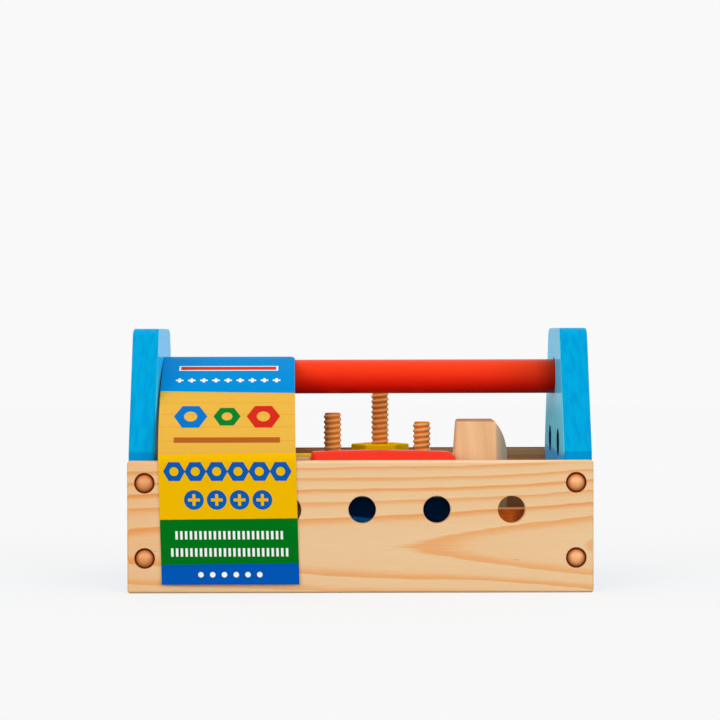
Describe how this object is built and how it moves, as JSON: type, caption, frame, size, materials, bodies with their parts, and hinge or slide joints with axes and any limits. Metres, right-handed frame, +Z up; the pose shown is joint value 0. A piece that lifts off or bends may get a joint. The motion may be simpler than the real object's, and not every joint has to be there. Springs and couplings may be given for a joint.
{
  "type": "toy tool box",
  "caption": "Open wooden toy tool box with a round carrying handle, blue end boards, loose wooden tools and fasteners, and a printed card sleeve over the handle.",
  "frame": {"origin": "middle of the footprint, on the ground", "axes": "+X along the handle towards the end where the hammer stands, -Y the front panel, +Z up"},
  "size_m": [0.254, 0.1432, 0.1442],
  "materials": {
    "pine": "clear-coated natural pine with visible grain",
    "blue_wood": "blue translucent stain, satin",
    "red_wood": "red paint on wood, gloss",
    "yellow_wood": "yellow paint on wood, satin",
    "green_wood": "green paint on wood, satin",
    "beech": "natural beech, clear satin",
    "plug_wood": "dark hardwood plug, glossy clear coat",
    "screw_steel": "zinc-plated steel, mostly hidden",
    "printed_card": "printed card with a thin gloss coat"
  },
  "bodies": {
    "box": {"side_front": "pine", "side_back": "pine", "end_left": "blue_wood", "end_right": "blue_wood", "base_board": "pine", "handle_rod": "red_wood", "plug_front_left_low": "plug_wood", "plug_front_left_high": "plug_wood", "plug_front_right_low": "plug_wood", "plug_front_right_high": "plug_wood", "plug_back_left_low": "plug_wood", "plug_back_left_high": "plug_wood", "plug_back_right_low": "plug_wood", "plug_back_right_high": "plug_wood", "screw_front_left_low": "screw_steel", "screw_front_left_high": "screw_steel", "screw_front_right_low": "screw_steel", "screw_front_right_high": "screw_steel", "screw_back_left_low": "screw_steel", "screw_back_left_high": "screw_steel", "screw_back_right_low": "screw_steel", "screw_back_right_high": "screw_steel"},
    "sleeve": {"card_sleeve": "printed_card"},
    "saw": {"saw_blade": "beech", "saw_handle": "red_wood"},
    "wrench_body": {"wrench": "blue_wood"},
    "hammer": {"hammer_head": "beech", "hammer_handle": "yellow_wood"},
    "board": {"blue_board": "blue_wood"},
    "screwdriver": {"screwdriver_handle": "green_wood", "screwdriver_shaft": "beech"},
    "bolt_left": {"bolt_left_head": "green_wood", "bolt_left_shaft": "beech"},
    "bolt_right": {"bolt_right_head": "green_wood", "bolt_right_shaft": "beech"},
    "rod_with_nuts": {"threaded_rod": "beech"},
    "upper_nut": {"nut_upper": "yellow_wood"},
    "lower_nut": {"nut_lower": "yellow_wood"},
    "green_plate": {"plate_green": "green_wood"},
    "natural_plate": {"plate_natural": "beech"},
    "yellow_strip": {"strip_yellow": "yellow_wood"},
    "natural_strip": {"strip_natural": "beech"}
  },
  "joints": [
    {"name": "sleeve_lift", "type": "slide", "parent": "box", "child": "sleeve", "axis": [0, 0, 1], "range_m": [0, 0.15]},
    {"name": "saw_lift", "type": "slide", "parent": "box", "child": "saw", "axis": [0, 0, 1], "range_m": [0, 0.09]},
    {"name": "wrench_lift", "type": "slide", "parent": "box", "child": "wrench_body", "axis": [0, 0, 1], "range_m": [0, 0.09]},
    {"name": "hammer_lift", "type": "slide", "parent": "box", "child": "hammer", "axis": [0, 0, 1], "range_m": [0, 0.09]},
    {"name": "screwdriver_lift", "type": "slide", "parent": "box", "child": "screwdriver", "axis": [0, 0, 1], "range_m": [0, 0.09]},
    {"name": "blue_board_lift", "type": "slide", "parent": "box", "child": "board", "axis": [0, 0, 1], "range_m": [0, 0.075]},
    {"name": "bolt_left_lift", "type": "slide", "parent": "box", "child": "bolt_left", "axis": [0, 0, 1], "range_m": [0, 0.075]},
    {"name": "plate_green_lift", "type": "slide", "parent": "box", "child": "green_plate", "axis": [0, 0, 1], "range_m": [0, 0.0675]},
    {"name": "bolt_right_lift", "type": "slide", "parent": "box", "child": "bolt_right", "axis": [0, 0, 1], "range_m": [0, 0.08]},
    {"name": "threaded_rod_lift", "type": "slide", "parent": "box", "child": "rod_with_nuts", "axis": [0, 0, 1], "range_m": [0, 0.1]},
    {"name": "nut_upper_turn", "type": "hinge", "parent": "rod_with_nuts", "child": "upper_nut", "pos_m": [0.0118, 0.0432, 0.0696], "axis": [0, 0, 1], "continuous": true},
    {"name": "nut_lower_turn", "type": "hinge", "parent": "rod_with_nuts", "child": "lower_nut", "pos_m": [0.0118, 0.0432, 0.0163], "axis": [0, 0, 1], "continuous": true},
    {"name": "plate_natural_lift", "type": "slide", "parent": "box", "child": "natural_plate", "axis": [0, 0, 1], "range_m": [0, 0.075]},
    {"name": "strip_yellow_lift", "type": "slide", "parent": "box", "child": "yellow_strip", "axis": [0, 0, 1], "range_m": [0, 0.08]},
    {"name": "strip_natural_lift", "type": "slide", "parent": "box", "child": "natural_strip", "axis": [0, 0, 1], "range_m": [0, 0.08]}
  ],
  "couplings": [
    {"joint": "saw_lift", "follows": "sleeve_lift", "ratio": 0.6},
    {"joint": "wrench_lift", "follows": "sleeve_lift", "ratio": 0.6},
    {"joint": "hammer_lift", "follows": "sleeve_lift", "ratio": 0.6},
    {"joint": "screwdriver_lift", "follows": "sleeve_lift", "ratio": 0.6},
    {"joint": "blue_board_lift", "follows": "sleeve_lift", "ratio": 0.5},
    {"joint": "plate_green_lift", "follows": "bolt_left_lift", "ratio": 0.9}
  ]
}
